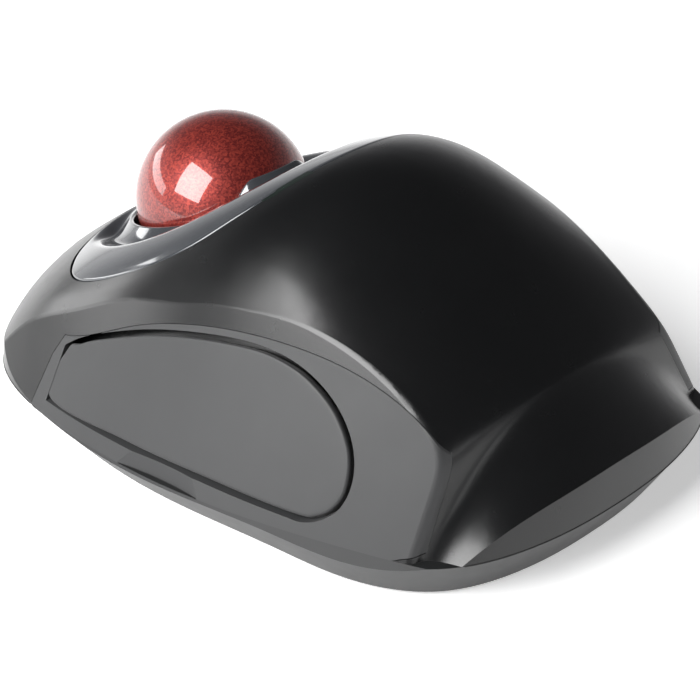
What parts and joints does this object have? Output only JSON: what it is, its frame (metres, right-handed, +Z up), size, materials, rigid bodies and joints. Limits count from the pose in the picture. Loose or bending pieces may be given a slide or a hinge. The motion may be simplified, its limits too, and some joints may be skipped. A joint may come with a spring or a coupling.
{
  "type": "computer mouse",
  "caption": "Wireless trackball pointing device: low wide domed shell, soft side panels with long press buttons, and a large glossy ball in an eye-shaped bezel at the front.",
  "frame": {"origin": "middle of the object's box, on the plane that the feet stand on", "axes": "+Z up, +Y towards the ball end, +X to the right seen from the user's side"},
  "size_m": [0.0954, 0.1146, 0.0482],
  "materials": {
    "skirt_black": "fine moulded satin, charcoal",
    "dome_gloss": "smooth semi-gloss black",
    "bezel_smoke": "high-gloss smoked grey",
    "soft_grey": "soft-touch matte dark grey",
    "steel": "nickel-plated",
    "switch_black": "moulded black",
    "plunger_white": "moulded white",
    "window_green": "dark green translucent",
    "ball_resin": "cast resin",
    "ball_red": "deep red metallic pearl",
    "ball_clear": "clear polished lacquer",
    "cup_grey": "moulded dark grey",
    "bearing_white": "polished ceramic",
    "lens_clear": "clear moulded",
    "chip_black": "moulded epoxy",
    "board_green": "solder mask",
    "cell_wrap": "printed sleeve over can",
    "foot_rubber": "matte rubber"
  },
  "bodies": {
    "housing": {"base_shell": "skirt_black", "top_shell": "dome_gloss", "bezel": "bezel_smoke", "left_panel": "soft_grey", "right_panel": "soft_grey", "left_hinge_pin": "steel", "right_hinge_pin": "steel", "left_switch": "switch_black", "right_switch": "switch_black", "indicator_window": "window_green", "indicator_led": "plunger_white", "ball_cup": "cup_grey", "ball_bearings": "bearing_white", "sensor_lens": "lens_clear", "sensor_chip": "chip_black", "sensor_board": "board_green", "touch_ring": "board_green", "main_board": "board_green", "control_chip": "chip_black", "radio_can": "steel", "antenna": "plunger_white", "left_cell": "cell_wrap", "right_cell": "cell_wrap", "cell_springs": "steel", "cell_contacts": "steel", "power_switch": "switch_black", "rubber_feet": "foot_rubber", "case_screws": "steel"},
    "left_button_body": {"left_button": "soft_grey"},
    "right_button_body": {"right_button": "soft_grey"},
    "left_plunger_body": {"left_plunger": "plunger_white"},
    "right_plunger_body": {"right_plunger": "plunger_white"},
    "ball_heart": {"ball_core": "ball_resin"},
    "ball_middle": {"ball_pearl": "ball_red"},
    "ball_outer": {"ball_coat": "ball_clear"},
    "battery_door_body": {"battery_door": "skirt_black"},
    "receiver": {"receiver_cap": "switch_black", "receiver_plug": "steel"},
    "power_knob_body": {"power_knob": "cup_grey"}
  },
  "joints": [
    {"name": "left_button_press", "type": "hinge", "parent": "housing", "child": "left_button_body", "pos_m": [-0.03131, -0.027, 0.01617], "axis": [-0.4955, 0, -0.8686], "range_deg": [0, 0.85], "stiffness_Nm_per_rad": 0.4, "springref_deg": -0.69},
    {"name": "left_plunger_slide", "type": "slide", "parent": "housing", "child": "left_plunger_body", "axis": [0.8686, 0, -0.4955], "range_m": [0, 0.000559]},
    {"name": "right_button_press", "type": "hinge", "parent": "housing", "child": "right_button_body", "pos_m": [0.03131, -0.027, 0.01617], "axis": [-0.4955, 0, 0.8686], "range_deg": [0, 0.85], "stiffness_Nm_per_rad": 0.4, "springref_deg": -0.69},
    {"name": "right_plunger_slide", "type": "slide", "parent": "housing", "child": "right_plunger_body", "axis": [-0.8686, 0, -0.4955], "range_m": [0, 0.000559]},
    {"name": "ball_lift", "type": "slide", "parent": "housing", "child": "ball_heart", "axis": [0, 0.342, 0.9397], "range_m": [0, 0.035]},
    {"name": "ball_roll_forward", "type": "hinge", "parent": "ball_heart", "child": "ball_middle", "pos_m": [0, 0.0342, 0.0263], "axis": [1, 0, 0], "continuous": true},
    {"name": "ball_roll_sideways", "type": "hinge", "parent": "ball_middle", "child": "ball_outer", "pos_m": [0, 0.0342, 0.0263], "axis": [0, 1, 0], "continuous": true},
    {"name": "battery_door_off", "type": "slide", "parent": "housing", "child": "battery_door_body", "axis": [0, 0, -1], "range_m": [0, 0.025]},
    {"name": "receiver_out", "type": "slide", "parent": "housing", "child": "receiver", "axis": [0, 0, -1], "range_m": [0, 0.0195]},
    {"name": "power_slide", "type": "slide", "parent": "housing", "child": "power_knob_body", "axis": [0, 1, 0], "range_m": [0, 0.0026]}
  ],
  "couplings": [
    {"joint": "left_plunger_slide", "follows": "left_button_press", "m_per_rad": 0.037},
    {"joint": "right_plunger_slide", "follows": "right_button_press", "m_per_rad": 0.037}
  ]
}
